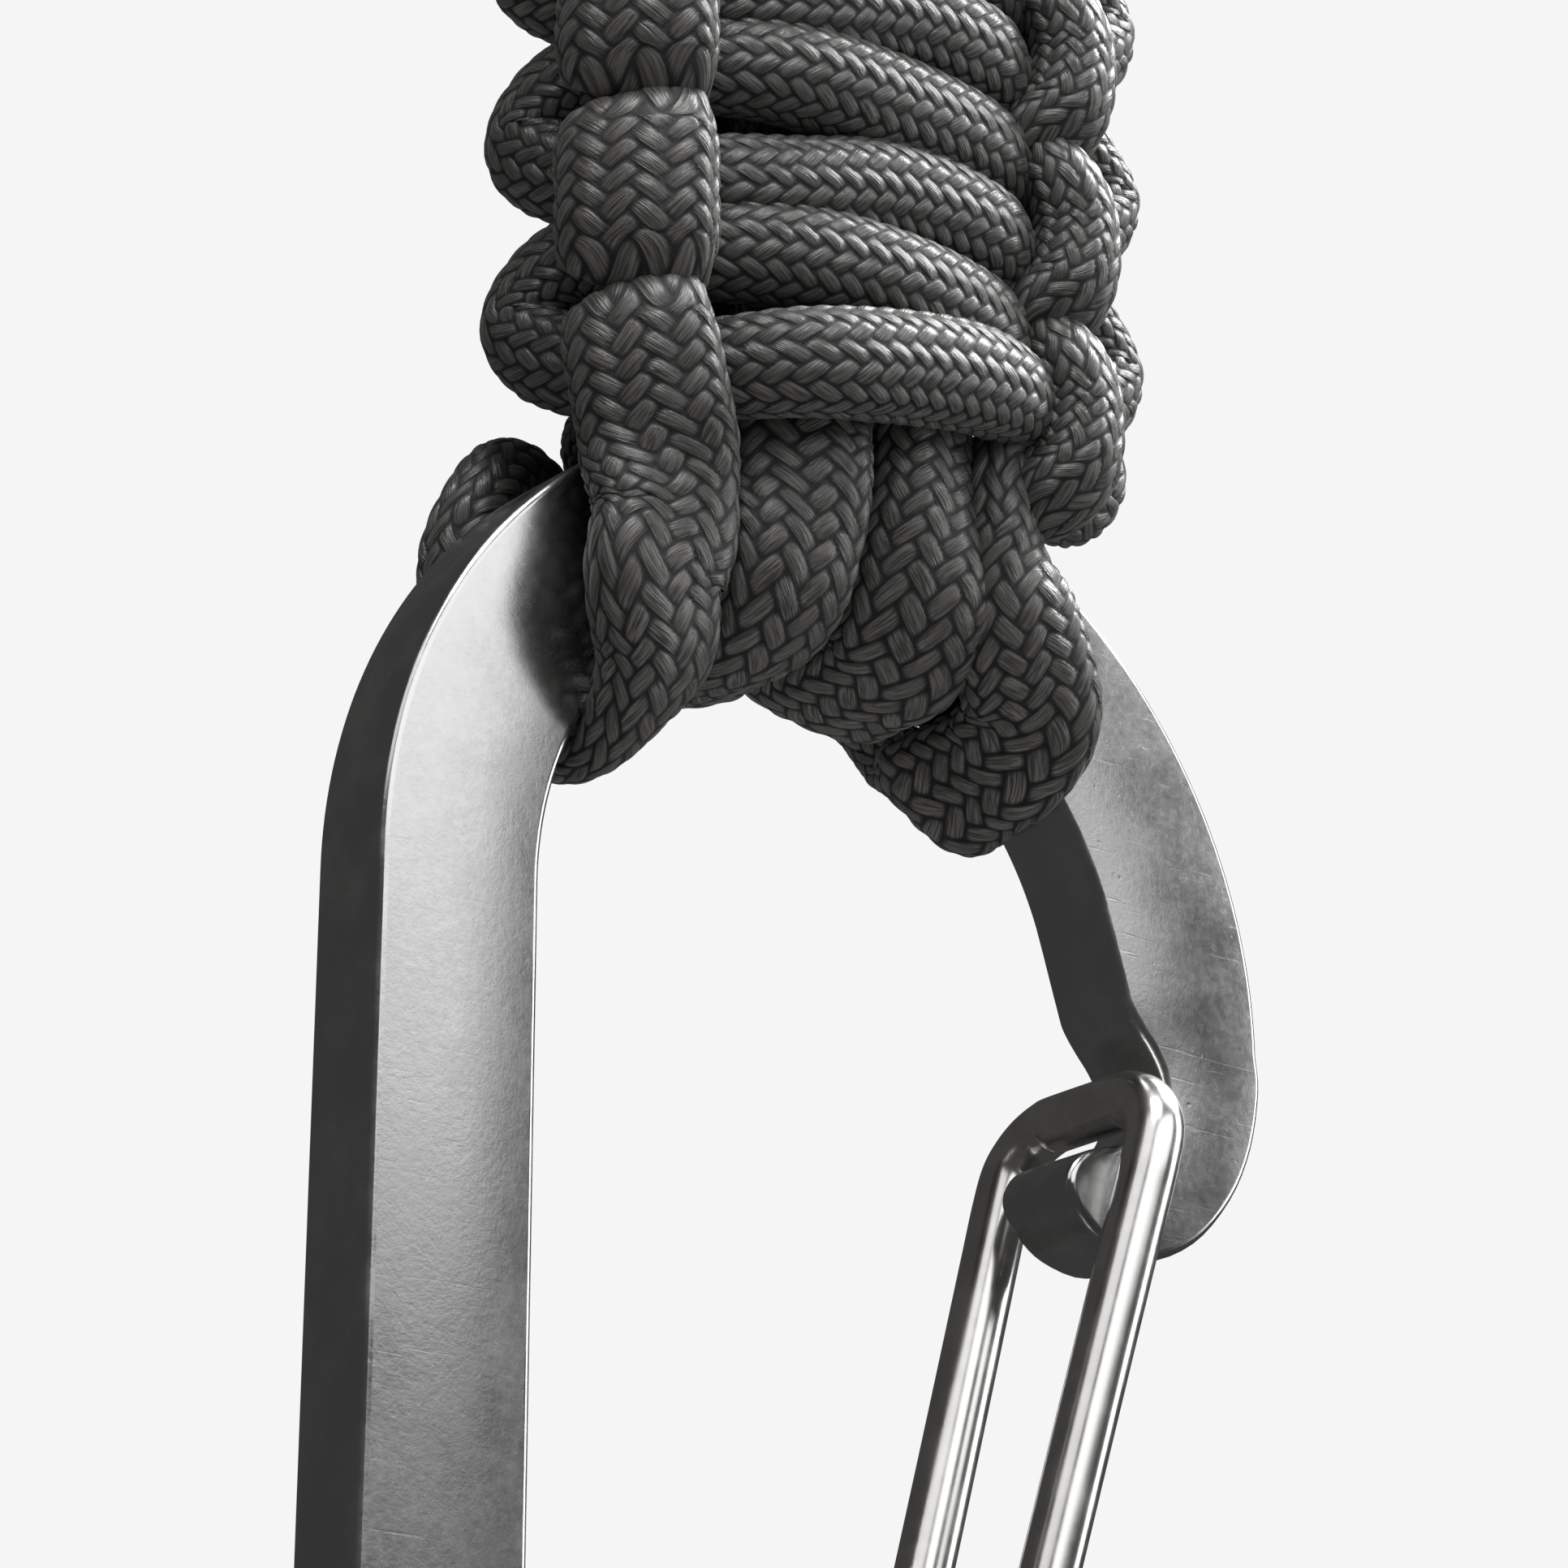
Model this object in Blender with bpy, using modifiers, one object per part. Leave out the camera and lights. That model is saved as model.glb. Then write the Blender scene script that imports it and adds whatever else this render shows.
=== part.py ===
"""Carabiner on a strap woven from braided cord, hung from a split ring.

The strap is a Solomon bar: four core strands run straight from the ring to the
carabiner, and a working cord is knotted round them. One half of the working cord
always crosses in front, the other half always crosses behind and shows as the
upright bumps along both edges. The carabiner is a flat bar with a wire gate.

Frame: +Z up, origin at the top of the ring's hole, where the object hangs.
The carabiner's loop lies in the XZ plane, with its spine towards -X.
"""

import math

import bmesh
import bpy
from mathutils import Vector

MM = 0.001

# Split ring: two turns of round wire, wound about the Y axis.
RING_RADIUS = 12.0
RING_WIRE_RADIUS = 0.8
RING_TURNS = 1.94
RING_TURN_STEP = 1.8
RING_CENTRE_Z = RING_WIRE_RADIUS - RING_RADIUS
RING_LOW_Z = RING_CENTRE_Z - RING_RADIUS

# Weave: one junction on each side for every pitch, the two sides half a pitch apart.
HALF_PITCH = 3.95
HALF_KNOTS = 12
JUNCTION_OVER_ARCH = 19.3
STRAP_ABOVE_WEAVE = 6.5
ARCH_X = 0.8
ARCH_Z = RING_LOW_Z - STRAP_ABOVE_WEAVE - HALF_KNOTS * HALF_PITCH - JUNCTION_OVER_ARCH

# Cord radii: free runs, where a run is pinched under a bump, and inside a loop.
CORD_RADIUS = 1.6
PINCHED_RADIUS = 0.8
PASS_RADIUS = 0.65
CORE_X = 2.3
CORE_Y = 2.1
BIGHT_Y = 8.0
BIGHT_DROP = 2.2

# Carabiner bar, all measured from the centre of its round top.
BAR_THICKNESS = 4.2
ARCH_OUTER_RADIUS = 21.2
ARCH_OUTER_OFFSET = 0.25
ARCH_INNER_RADIUS = 14.0
END_CENTRE = (-8.6, -50.5)
END_OUTER_RADIUS = 12.6
END_INNER_RADIUS = 5.4
HINGE = (0.55, -48.2)
HINGE_END_RADIUS = 3.6
HINGE_HOLE_RADIUS = 1.5
BAR_EDGE_ROUND = 0.35

# Hooked nose: the outside from the arch down to the tip of the lip, then the notch.
NOSE_OUTSIDE = ((21.55, -1.5), (21.0, -4.0), (19.8, -6.3), (17.8, -8.35), (15.4, -9.4), (13.2, -9.1))
NOSE_LIP = ((11.85, -8.2), (11.15, -7.1), (11.5, -6.05), (12.5, -5.4))
NOSE_NOTCH = ((13.9, -5.0), (15.2, -4.55), (16.05, -3.8), (16.4, -2.8), (16.3, -1.8))
NOSE_INSIDE = ((15.8, -0.9), (15.1, -0.1), (14.5, 0.7), (14.2, 1.5))

# Wire gate: two legs and a crossbar of one wire, its ends turned into the hinge hole.
GATE_WIRE_RADIUS = 1.15
GATE_TOP = (14.2, -3.2)
GATE_HALF_WIDTH_TOP = 4.45
GATE_HALF_WIDTH_LOW = 3.8
GATE_NARROW_AT = 0.5
GATE_CORNER_RADIUS = 2.6
GATE_END_Y = 0.35


def make_collection(name):
    collection = bpy.data.collections.new(name)
    bpy.context.scene.collection.children.link(collection)
    return collection


def make_material(name, colour, roughness, metallic):
    material = bpy.data.materials.new(name)
    material.use_nodes = True
    shader = material.node_tree.nodes["Principled BSDF"]
    shader.inputs["Base Color"].default_value = (*colour, 1.0)
    shader.inputs["Roughness"].default_value = roughness
    shader.inputs["Metallic"].default_value = metallic
    return material


def smooth_points(controls, steps, cyclic=False):
    """Points on a Catmull-Rom curve through controls of (x, y, z, radius)."""
    count = len(controls)
    spans = count if cyclic else count - 1
    found = []
    for i in range(spans):
        if cyclic:
            p0, p1, p2, p3 = (controls[(i + k) % count] for k in (-1, 0, 1, 2))
        else:
            p0, p1 = controls[max(i - 1, 0)], controls[i]
            p2, p3 = controls[i + 1], controls[min(i + 2, count - 1)]
        for step in range(steps):
            t = step / steps
            found.append(
                tuple(
                    0.5 * (2 * b + (c - a) * t + (2 * a - 5 * b + 4 * c - d) * t**2
                           + (3 * b - a - 3 * c + d) * t**3)
                    for a, b, c, d in zip(p0, p1, p2, p3)
                )
            )
    if not cyclic:
        found.append(tuple(controls[-1]))
    return found


def make_tube(name, points, collection, material, sides_level=2, cyclic=False):
    """A tube through points of (x, y, z, radius) in millimetres, as one mesh."""
    curve = bpy.data.curves.new(name + "_route", "CURVE")
    curve.dimensions = "3D"
    curve.bevel_depth = MM
    curve.bevel_resolution = sides_level
    curve.use_fill_caps = True
    spline = curve.splines.new("POLY")
    spline.points.add(len(points) - 1)
    for point, (x, y, z, radius) in zip(spline.points, points):
        point.co = (x * MM, y * MM, z * MM, 1.0)
        point.radius = radius
    spline.use_cyclic_u = cyclic
    spline.use_smooth = True
    route = bpy.data.objects.new(name + "_route", curve)
    collection.objects.link(route)
    return solid_from_curve(route, name, collection, material)


def solid_from_curve(route, name, collection, material):
    """The curve's own solid, its loose caps welded on, in place of the curve."""
    bpy.context.view_layer.update()
    graph = bpy.context.evaluated_depsgraph_get()
    mesh = bpy.data.meshes.new_from_object(route.evaluated_get(graph))
    mesh.name = name
    work = bmesh.new()
    work.from_mesh(mesh)
    bmesh.ops.remove_doubles(work, verts=work.verts, dist=1e-6)
    bmesh.ops.recalc_face_normals(work, faces=work.faces)
    work.to_mesh(mesh)
    work.free()
    mesh.materials.clear()
    mesh.materials.append(material)
    solid = bpy.data.objects.new(name, mesh)
    solid.matrix_world = route.matrix_world
    collection.objects.link(solid)
    bpy.data.objects.remove(route)
    mesh.shade_smooth()
    return solid


def arc(centre, radius, start_deg, end_deg, count):
    """Points on an arc, angles from +X, both ends included."""
    angles = [math.radians(start_deg + (end_deg - start_deg) * i / (count - 1)) for i in range(count)]
    return [(centre[0] + radius * math.cos(a), centre[1] + radius * math.sin(a)) for a in angles]


def bar_outline():
    """The carabiner's outline, clockwise from the left end of the arch."""
    outline = arc((ARCH_OUTER_OFFSET, 0), ARCH_OUTER_RADIUS, 180, 0, 31)
    outline += NOSE_OUTSIDE + NOSE_LIP + NOSE_NOTCH + NOSE_INSIDE
    outline += arc((0, 0), ARCH_INNER_RADIUS, 14, 180, 21)
    outline += arc(END_CENTRE, END_INNER_RADIUS, 180, 360, 13)
    outline += arc(HINGE, HINGE_END_RADIUS, 172, 0, 11)
    outline += arc(END_CENTRE, END_OUTER_RADIUS, 0, -180, 23)
    return outline


def in_place(x, z):
    """A point of the carabiner's plane, in the part's own frame."""
    return (ARCH_X + x, ARCH_Z + z)


def carabiner_body(collection, cutters, material):
    curve = bpy.data.curves.new("bar_outline", "CURVE")
    curve.dimensions = "2D"
    curve.fill_mode = "BOTH"
    curve.extrude = BAR_THICKNESS / 2 * MM
    outline = bar_outline()
    spline = curve.splines.new("POLY")
    spline.points.add(len(outline) - 1)
    for point, (x, z) in zip(spline.points, outline):
        point.co = (x * MM, z * MM, 0.0, 1.0)
    spline.use_cyclic_u = True
    route = bpy.data.objects.new("bar_outline", curve)
    collection.objects.link(route)
    route.rotation_euler = (math.pi / 2, 0, 0)
    route.location = (ARCH_X * MM, 0, ARCH_Z * MM)
    body = solid_from_curve(route, "carabiner_body", collection, material)
    rounded = body.modifiers.new("rounded_edges", "BEVEL")
    rounded.width = BAR_EDGE_ROUND * MM
    rounded.segments = 2
    rounded.limit_method = "ANGLE"
    rounded.angle_limit = math.radians(50)
    hole_x, hole_z = in_place(*HINGE)
    bpy.ops.mesh.primitive_cylinder_add(
        vertices=20,
        radius=HINGE_HOLE_RADIUS * MM,
        depth=3 * BAR_THICKNESS * MM,
        location=(hole_x * MM, 0, hole_z * MM),
        rotation=(math.pi / 2, 0, 0),
    )
    hole = bpy.context.object
    hole.name = "hinge_hole_cutter"
    hole.hide_render = True
    hole.display_type = "WIRE"
    for owner in hole.users_collection:
        owner.objects.unlink(hole)
    cutters.objects.link(hole)
    bored = body.modifiers.new("hinge_hole", "BOOLEAN")
    bored.operation = "DIFFERENCE"
    bored.solver = "EXACT"
    bored.object = hole
    return body


def gate_wire(collection, material):
    """One bent wire: in at the hinge, up one side, across the notch and back down."""
    low, top = Vector(in_place(*HINGE)), Vector(in_place(*GATE_TOP))
    along = top - low
    length = along.length

    def half_width(share):
        if share < GATE_NARROW_AT:
            return GATE_HALF_WIDTH_LOW
        spread = (share - GATE_NARROW_AT) / (1 - GATE_NARROW_AT)
        return GATE_HALF_WIDTH_LOW + spread * (GATE_HALF_WIDTH_TOP - GATE_HALF_WIDTH_LOW)

    def leg_point(share, y):
        spot = low + along * share
        return (spot.x, y, spot.y)

    side = [leg_point(0, -GATE_END_Y), leg_point(0, -GATE_HALF_WIDTH_LOW + 1.5)]
    for degrees in (30, 60):
        turn = math.radians(degrees)
        y = -GATE_HALF_WIDTH_LOW + 1.5 * (1 - math.sin(turn))
        side.append(leg_point(1.5 * (1 - math.cos(turn)) / length, y))
    corner_start = 1 - GATE_CORNER_RADIUS / length
    shares = [1.5 / length, 0.2, GATE_NARROW_AT, 0.75, corner_start]
    side += [leg_point(share, -half_width(share)) for share in shares]
    for degrees in (22.5, 45, 67.5, 90):
        turn = math.radians(degrees)
        share = 1 - GATE_CORNER_RADIUS * (1 - math.sin(turn)) / length
        side.append(leg_point(share, -half_width(1) + GATE_CORNER_RADIUS * (1 - math.cos(turn))))
    other = [(x, -y, z) for x, y, z in reversed(side)]
    points = [(x, y, z, GATE_WIRE_RADIUS) for x, y, z in side + other]
    return make_tube("gate_wire", points, collection, material, sides_level=3)


def key_ring(collection, material):
    """Two turns of wire side by side, the ends lapped at the top."""
    count = 96
    turn = 2 * math.pi * RING_TURNS
    points = []
    for i in range(count + 1):
        share = i / count
        angle = math.pi / 2 + turn * share
        points.append(
            (
                RING_RADIUS * math.cos(angle),
                RING_TURN_STEP * (share - 0.5) * RING_TURNS,
                RING_CENTRE_Z + RING_RADIUS * math.sin(angle),
                RING_WIRE_RADIUS,
            )
        )
    return make_tube("key_ring", points, collection, material)


def junction_z(n):
    """Height of junction n, counted from the lowest; even ones are on the right."""
    return ARCH_Z + JUNCTION_OVER_ARCH + n * HALF_PITCH


def side_of(n):
    return 1 if n % 2 == 0 else -1


def under_bar(angle_deg, radius):
    """A point inside the arch at an angle from straight up and a radius, in the frame."""
    angle = math.radians(angle_deg)
    return in_place(radius * math.sin(angle), radius * math.cos(angle))


def edge_loop(n):
    """The loop round junction n, from its lower arm to its upper arm."""
    s, z = side_of(n), junction_z(n)
    run, side_run = CORD_RADIUS * 0.95, PINCHED_RADIUS * 1.2
    lower_y = -7.15 if n == 1 else -5.3
    return [
        (s * 5.0, lower_y, z - 2.05, run),
        (s * 8.5, -3.1, z - 2.4, PINCHED_RADIUS),
        (s * 11.0, 0.4, z - 2.1, side_run),
        (s * 12.1, 2.6, z, 1.25),
        (s * 11.0, 0.4, z + 2.1, side_run),
        (s * 8.5, -3.1, z + 2.4, PINCHED_RADIUS),
        (s * 5.0, -5.3, z + 2.05, run),
    ]


def crossing_cord_route():
    """Up round the bar on the right, then across the front after every junction."""
    z = junction_z(0)
    under_x, under_z = under_bar(36, ARCH_INNER_RADIUS - 2.1)
    wrap = CORD_RADIUS * 0.95
    route = [
        (0.35, BIGHT_Y, z - BIGHT_DROP, CORD_RADIUS),
        (3.2, BIGHT_Y - 0.2, z - BIGHT_DROP - 0.1, CORD_RADIUS),
        (6.0, 6.2, z - BIGHT_DROP - 1.7, CORD_RADIUS),
        (7.2, 4.5, z - 7.0, wrap),
        (7.6, 4.4, z - 10.0, wrap),
        (under_x + 0.3, 3.6, under_z + 0.8, wrap),
        (under_x, 0.0, under_z - 0.3, wrap),
        (under_x + 0.3, -3.6, under_z + 0.8, wrap),
        (7.4, -4.4, z - 9.0, wrap),
        (7.6, -4.5, z - 4.6, wrap),
        (9.4, -4.3, z - 2.2, 1.2),
        (11.4, -4.1, z - 1.1, 0.95),
        (12.9, -2.2, z + 0.1, 0.95),
        (13.4, 0.6, z + 1.3, 1.0),
        (12.7, 1.8, z + 2.5, 1.0),
        (11.0, 0.4, z + 3.0, PINCHED_RADIUS),
        (8.5, -3.1, z + 2.6, PINCHED_RADIUS),
        (5.0, -6.4, z + 2.0, wrap),
        (0.0, -7.9, z + 1.6, CORD_RADIUS),
    ]
    for n in range(1, HALF_KNOTS):
        route += edge_loop(n)
        bulge = 6.3 if n == 1 else 5.8
        route.append((0.0, -bulge, junction_z(n) + HALF_PITCH / 2, CORD_RADIUS))
    last, s = junction_z(HALF_KNOTS), side_of(HALF_KNOTS)
    route.append((s * 5.0, -5.3, last - 2.05, wrap))
    route.append((s * 8.5, -3.1, last - 2.4, PINCHED_RADIUS))
    route.append((s * 10.6, -0.2, last - 2.2, 0.95))
    route.append((s * 11.4, 1.3, last - 2.0, 1.2))
    return route


def rear_crossing(n):
    """From the loop at junction n + 1 down behind the core to the loop at junction n."""
    s, z, low = side_of(n + 1), junction_z(n + 1), junction_z(n)
    over_wraps = 1.9 if n == 0 else 0.0
    over_bar = 1.0 if n == 0 else 0.0
    low_end_y = 5.8 if n < 2 else 4.9
    return [
        (s * 7.6, 1.2, z - 0.9, PASS_RADIUS),
        (s * 5.0, 4.9 + over_wraps * 0.8, z - 1.2, 1.15),
        (0.0, 5.9 + over_wraps, (z + low) / 2 + over_bar / 2, CORD_RADIUS * 0.95),
        (-s * 5.0, low_end_y, low + 1.2 + over_bar, 1.15),
        (-s * 7.6, 1.2, low + 0.9 + over_bar, PASS_RADIUS),
    ]


def edge_bump(n):
    """Up the front edge from the loop at junction n to the loop at junction n + 2."""
    s, z, top = side_of(n), junction_z(n), junction_z(n + 2)
    over_bar = 0.3 if n == 0 else 0.0
    return [
        (s * 9.1, -2.2, z + 0.85 + over_bar, PASS_RADIUS),
        (s * 11.0, -4.7, z + 1.5, 1.2),
        (s * 11.6, -5.0, z + 3.0, CORD_RADIUS),
        (s * 11.6, -5.0, top - 3.0, CORD_RADIUS),
        (s * 11.0, -4.7, top - 1.5, 1.2),
        (s * 9.1, -2.2, top - 0.85, PASS_RADIUS),
    ]


def edge_cord_route():
    """Up round the bar on the left, then bump, cross behind, bump, to the top."""
    first, z = junction_z(1), junction_z(0)
    under_x, under_z = under_bar(-54, ARCH_INNER_RADIUS - 2.1)
    wrap = CORD_RADIUS * 0.95
    route = [
        (-0.35, BIGHT_Y, z - BIGHT_DROP, CORD_RADIUS),
        (-4.6, BIGHT_Y - 0.1, z - BIGHT_DROP - 0.1, CORD_RADIUS),
        (-8.2, 6.2, z - BIGHT_DROP - 1.9, CORD_RADIUS),
        (-9.6, 4.5, z - 7.5, wrap),
        (-10.3, 4.4, z - 10.5, wrap),
        (under_x + 0.2, 3.6, under_z + 0.9, wrap),
        (under_x + 0.3, 0.0, under_z - 0.1, wrap),
        (under_x + 0.2, -3.6, under_z + 0.9, wrap),
        (-10.4, -4.4, first - 13.0, wrap),
        (-10.6, -4.5, first - 8.0, wrap),
        (-11.5, -5.0, first - 3.0, CORD_RADIUS),
        (-11.0, -4.7, first - 1.5, 1.2),
        (-9.1, -2.2, first - 0.85, PASS_RADIUS),
    ]
    for n in range(0, HALF_KNOTS - 1):
        route += rear_crossing(n)
        route += edge_bump(n)
    return route + rear_crossing(HALF_KNOTS - 1)[:4]


def core_route(side, front_x, under_angle):
    """A closed loop of cord from the ring down the front, under the bar and back up."""
    low, top = junction_z(0), RING_LOW_Z
    under_x, under_z = under_bar(under_angle, ARCH_INNER_RADIUS - 2.1)
    x = side * CORE_X
    down = [
        (x, -2.9, top - 3.6, CORD_RADIUS),
        (x, -CORE_Y, top - 6.4, CORD_RADIUS),
        (x, -CORE_Y, (top + low) / 2, CORD_RADIUS),
        (x, -CORE_Y - 0.1, low + 7.5, CORD_RADIUS),
        ((x + front_x) / 2, -4.1, low + 2.6, CORD_RADIUS),
        (front_x, -4.4, low - 2.0, CORD_RADIUS),
        (front_x * 0.95 + under_x * 0.05, -4.4, low - 7.5, CORD_RADIUS),
        (under_x, -3.6, under_z + 0.7, CORD_RADIUS),
    ]
    up = [(px, -py, pz, radius) for px, py, pz, radius in reversed(down)]
    over = RING_WIRE_RADIUS + RING_TURN_STEP / 2 + 0.9 + CORD_RADIUS
    hairpin = [(x, over, top - 0.4, CORD_RADIUS), (x, over * 0.72, top + over * 0.7, CORD_RADIUS)]
    hairpin += [(x, 0.0, top + over, CORD_RADIUS)]
    hairpin += [(x, -py, pz, radius) for _, py, pz, radius in reversed(hairpin[:2])]
    return down + [(under_x, 0.0, under_z - 0.3, CORD_RADIUS)] + up + hairpin


def melted_tip(name, centre, collection, material):
    """The fused bead where a cord end is trimmed and sealed with heat."""
    mesh = bpy.data.meshes.new(name)
    work = bmesh.new()
    bmesh.ops.create_uvsphere(work, u_segments=12, v_segments=8, radius=1.5 * MM)
    bmesh.ops.scale(work, vec=(1.1, 0.8, 0.75), verts=work.verts)
    bmesh.ops.translate(work, vec=[c * MM for c in centre], verts=work.verts)
    work.to_mesh(mesh)
    work.free()
    mesh.materials.append(material)
    mesh.shade_smooth()
    tip = bpy.data.objects.new(name, mesh)
    collection.objects.link(tip)
    return tip


def main():
    for old in list(bpy.data.objects):
        bpy.data.objects.remove(old)
    parts = make_collection("carabiner_on_woven_strap")
    cutters = make_collection("cutters")
    satin_steel = make_material("satin_steel", (0.62, 0.61, 0.59), 0.32, 1.0)
    bright_wire = make_material("bright_wire", (0.80, 0.79, 0.77), 0.12, 1.0)
    ring_steel = make_material("ring_steel", (0.70, 0.69, 0.67), 0.18, 1.0)
    charcoal_cord = make_material("charcoal_cord", (0.07, 0.066, 0.062), 0.65, 0.0)
    fused_cord = make_material("fused_cord", (0.02, 0.02, 0.02), 0.3, 0.0)

    carabiner_body(parts, cutters, satin_steel)
    gate_wire(parts, bright_wire)
    key_ring(parts, ring_steel)
    left, right = core_route(-1, -4.4, -25), core_route(1, 0.95, 2)
    make_tube("core_cord_left", smooth_points(left, 3, True), parts, charcoal_cord, cyclic=True)
    make_tube("core_cord_right", smooth_points(right, 3, True), parts, charcoal_cord, cyclic=True)
    crossing, edge = crossing_cord_route(), edge_cord_route()
    make_tube("crossing_cord", smooth_points(crossing, 2), parts, charcoal_cord)
    make_tube("edge_cord", smooth_points(edge, 2), parts, charcoal_cord)
    x, y, z, _ = crossing[-1]
    melted_tip("melted_tip_front", (x * 1.04, y + 2.0, z + 0.2), parts, fused_cord)
    x, y, z, _ = edge[-1]
    melted_tip("melted_tip_rear", (x * 1.47, y + 0.6, z), parts, fused_cord)


main()
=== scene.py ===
import math

import bmesh
import bpy
import numpy as np
from mathutils import Matrix, Vector


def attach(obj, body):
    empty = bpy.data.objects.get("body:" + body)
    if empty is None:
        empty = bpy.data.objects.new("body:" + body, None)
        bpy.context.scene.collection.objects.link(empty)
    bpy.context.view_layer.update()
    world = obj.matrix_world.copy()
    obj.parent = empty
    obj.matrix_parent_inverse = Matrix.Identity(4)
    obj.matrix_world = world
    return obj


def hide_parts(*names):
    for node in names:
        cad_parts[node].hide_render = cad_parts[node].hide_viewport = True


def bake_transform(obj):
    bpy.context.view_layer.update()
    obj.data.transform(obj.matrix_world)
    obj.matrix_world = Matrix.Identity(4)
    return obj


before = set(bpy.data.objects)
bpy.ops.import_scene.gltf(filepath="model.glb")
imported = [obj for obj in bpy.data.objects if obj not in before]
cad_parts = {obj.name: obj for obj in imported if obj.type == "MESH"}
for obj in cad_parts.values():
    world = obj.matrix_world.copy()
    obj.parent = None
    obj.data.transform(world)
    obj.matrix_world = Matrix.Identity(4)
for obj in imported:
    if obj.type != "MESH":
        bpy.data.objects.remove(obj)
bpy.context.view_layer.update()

# Carabiner bar.
# A hook-nosed snap link stamped from flat aluminium bar, its corners rounded and
# the flat faces tumbled to a satin grey. It hangs in the loops of the cord.
MM = 0.001
arch_x, arch_z = 0.8, -96.4
bar_thickness = 4.2
bar_edge_round = 0.35
arch_radii, outer_arch_offset = (21.2, 14.0), 0.25
end_centre, end_radii = (-8.6, -50.5), (12.6, 5.4)
hinge, hinge_end_radius, hinge_hole_radius = (0.55, -48.2), 3.6, 1.5
nose_outside = ((21.55, -1.5), (21.0, -4.0), (19.8, -6.3), (17.8, -8.35), (15.4, -9.4), (13.2, -9.1))
nose_lip = ((11.85, -8.2), (11.15, -7.1), (11.5, -6.05), (12.5, -5.4))
nose_notch = ((13.9, -5.0), (15.2, -4.55), (16.05, -3.8), (16.4, -2.8), (16.3, -1.8))
nose_inside = ((15.8, -0.9), (15.1, -0.1), (14.5, 0.7), (14.2, 1.5))


class Shade:
    """A shader socket that can be written in sums, and that can make other nodes."""

    def __init__(self, tree, socket=None):
        self.tree = tree
        self.socket = socket

    def node(self, kind, settings=None, inputs=None, output=0):
        made = self.tree.nodes.new(kind)
        for name, value in (settings or {}).items():
            setattr(made, name, value)
        for name, value in (inputs or {}).items():
            if isinstance(value, Shade):
                self.tree.links.new(value.socket, made.inputs[name])
            else:
                made.inputs[name].default_value = value
        return Shade(self.tree, made.outputs[output])

    def maths(self, operation, *values):
        return self.node("ShaderNodeMath", {"operation": operation}, dict(enumerate(values)))

    def __add__(self, other):
        return self.maths("ADD", self, other)

    def __sub__(self, other):
        return self.maths("SUBTRACT", self, other)

    def __rsub__(self, other):
        return self.maths("SUBTRACT", other, self)

    def __mul__(self, other):
        return self.maths("MULTIPLY", self, other)

    def __lt__(self, other):
        return self.maths("LESS_THAN", self, other)

    def __mod__(self, other):
        return self.maths("FLOORED_MODULO", self, other)

    __radd__ = __add__
    __rmul__ = __mul__

    def clamped(self, low, high):
        """This value's range from low to high spread over 0 to 1, and cut off there."""
        return self.node(
            "ShaderNodeMapRange",
            {"interpolation_type": "SMOOTHSTEP"},
            {"Value": self, "From Min": low, "From Max": high},
        )

    def mixed(self, first, second):
        """The colour first where this value is 0, and second where it is 1."""
        made = self.tree.nodes.new("ShaderNodeMix")
        made.data_type = "RGBA"
        self.tree.links.new(self.socket, made.inputs[0])
        for place, colour in ((6, first), (7, second)):
            if isinstance(colour, Shade):
                self.tree.links.new(colour.socket, made.inputs[place])
            else:
                made.inputs[place].default_value = (*colour, 1.0)
        return Shade(self.tree, made.outputs[2])


def new_finish(name, **constants):
    """A material with its shader, whose unvarying sockets are set here."""
    material = bpy.data.materials.new(name)
    material.use_nodes = True
    shader = material.node_tree.nodes["Principled BSDF"]
    for socket, value in constants.items():
        shader.inputs[socket.replace("_", " ")].default_value = value
    return material, shader, Shade(material.node_tree)


def feed(shade, shader, **values):
    for socket, value in values.items():
        shade.tree.links.new(value.socket, shader.inputs[socket.replace("_", " ")])


def speckle(shade, scale, detail=4.0, roughness=0.6, stretch=(1, 1, 1), turn=(0, 0, 0)):
    """Noise on the piece's own coordinates, scale in cells to the metre."""
    place = shade.node("ShaderNodeTexCoord", output=3)
    turned = place.node("ShaderNodeMapping", {}, {"Vector": place, "Rotation": turn, "Scale": stretch})
    return turned.node(
        "ShaderNodeTexNoise",
        {"noise_dimensions": "3D"},
        {"Vector": turned, "Scale": scale, "Detail": detail, "Roughness": roughness},
    )


def scratches(shade, turn, scale, share):
    """Fine straight scratches on the flat faces, one way round for each turn in degrees."""
    lines = speckle(shade, scale, 2.0, 0.5, (0.05, 1.0, 1.0), (0, math.radians(turn), 0))
    return lines.clamped(share, share + 0.04)


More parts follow.
